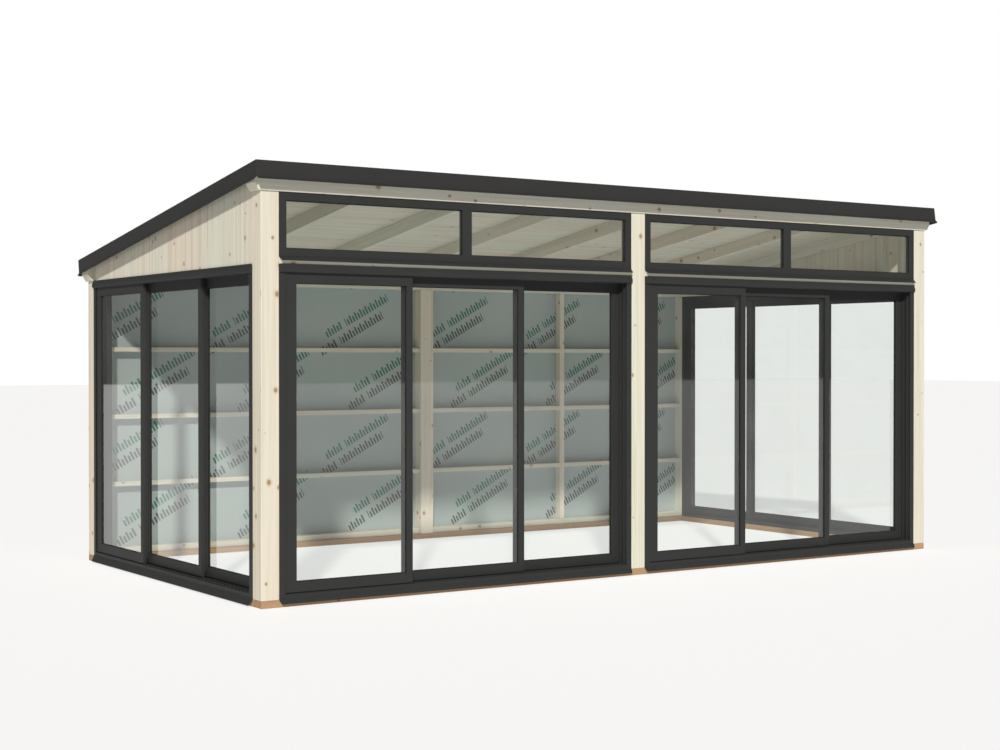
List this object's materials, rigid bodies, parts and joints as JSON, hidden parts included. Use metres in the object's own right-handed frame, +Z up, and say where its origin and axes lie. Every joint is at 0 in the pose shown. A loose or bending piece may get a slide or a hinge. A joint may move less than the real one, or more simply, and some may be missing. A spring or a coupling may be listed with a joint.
{
  "type": "garden office pod",
  "caption": "Timber-framed glazed garden office with a single-pitch roof, sliding three-panel doors at the front and both ends, and lights above.",
  "frame": {"origin": "on the ground, under the middle of the roof's outline", "axes": "+X to the right along the front, +Y from the front to the back, +Z up"},
  "size_m": [5.862, 3.0606, 2.6708],
  "materials": {
    "spruce_frame": "planed, unpainted",
    "spruce_boards": "planed, unpainted boards",
    "treated_timber": "brown, pressure treated",
    "dark_frame": "anthracite, satin powder coat",
    "dark_trim": "anthracite, matt coated sheet",
    "roof_felt": "dark bituminous roofing",
    "wind_barrier": "pale non-woven sheet",
    "clear_glass": "clear, polished"
  },
  "bodies": {
    "shell": {"base_beams_long": "treated_timber", "base_beams_short": "treated_timber", "front_posts": "spruce_frame", "back_posts": "spruce_frame", "front_beam": "spruce_frame", "back_beam": "spruce_frame", "front_headers": "spruce_frame", "end_headers": "spruce_frame", "rafters": "spruce_frame", "left_gable_boards": "spruce_boards", "right_gable_boards": "spruce_boards", "back_studs": "spruce_frame", "back_rails": "spruce_frame", "back_membrane": "wind_barrier", "back_boards": "spruce_boards", "roof_deck": "spruce_boards", "roof_cover": "roof_felt", "roof_trims_long": "dark_trim", "roof_trims_short": "dark_trim", "front_door_jambs": "dark_frame", "end_door_jambs": "dark_frame", "door_sills": "dark_frame", "door_heads": "dark_frame", "door_head_trims": "dark_trim", "fixed_sashes": "dark_frame", "fixed_panes": "clear_glass", "transom_frames": "dark_frame", "transom_panes": "clear_glass", "transom_drips": "dark_trim"},
    "front_left_outer_panel": {"front_left_outer_sash": "dark_frame", "front_left_outer_pane": "clear_glass"},
    "front_left_middle_panel": {"front_left_middle_sash": "dark_frame", "front_left_middle_pane": "clear_glass"},
    "front_right_outer_panel": {"front_right_outer_sash": "dark_frame", "front_right_outer_pane": "clear_glass"},
    "front_right_middle_panel": {"front_right_middle_sash": "dark_frame", "front_right_middle_pane": "clear_glass"},
    "left_end_outer_panel": {"left_end_outer_sash": "dark_frame", "left_end_outer_pane": "clear_glass"},
    "left_end_middle_panel": {"left_end_middle_sash": "dark_frame", "left_end_middle_pane": "clear_glass"},
    "right_end_outer_panel": {"right_end_outer_sash": "dark_frame", "right_end_outer_pane": "clear_glass"},
    "right_end_middle_panel": {"right_end_middle_sash": "dark_frame", "right_end_middle_pane": "clear_glass"}
  },
  "joints": [
    {"name": "front_left_outer_slide", "type": "slide", "parent": "shell", "child": "front_left_outer_panel", "axis": [1, 0, 0], "range_m": [0, 1.71]},
    {"name": "front_left_middle_slide", "type": "slide", "parent": "shell", "child": "front_left_middle_panel", "axis": [1, 0, 0], "range_m": [0, 0.827]},
    {"name": "front_right_outer_slide", "type": "slide", "parent": "shell", "child": "front_right_outer_panel", "axis": [1, 0, 0], "range_m": [0, 1.71]},
    {"name": "front_right_middle_slide", "type": "slide", "parent": "shell", "child": "front_right_middle_panel", "axis": [1, 0, 0], "range_m": [0, 0.827]},
    {"name": "left_end_outer_slide", "type": "slide", "parent": "shell", "child": "left_end_outer_panel", "axis": [0, -1, 0], "range_m": [0, 1.71]},
    {"name": "left_end_middle_slide", "type": "slide", "parent": "shell", "child": "left_end_middle_panel", "axis": [0, -1, 0], "range_m": [0, 0.827]},
    {"name": "right_end_outer_slide", "type": "slide", "parent": "shell", "child": "right_end_outer_panel", "axis": [0, 1, 0], "range_m": [0, 1.71]},
    {"name": "right_end_middle_slide", "type": "slide", "parent": "shell", "child": "right_end_middle_panel", "axis": [0, 1, 0], "range_m": [0, 0.827]}
  ]
}
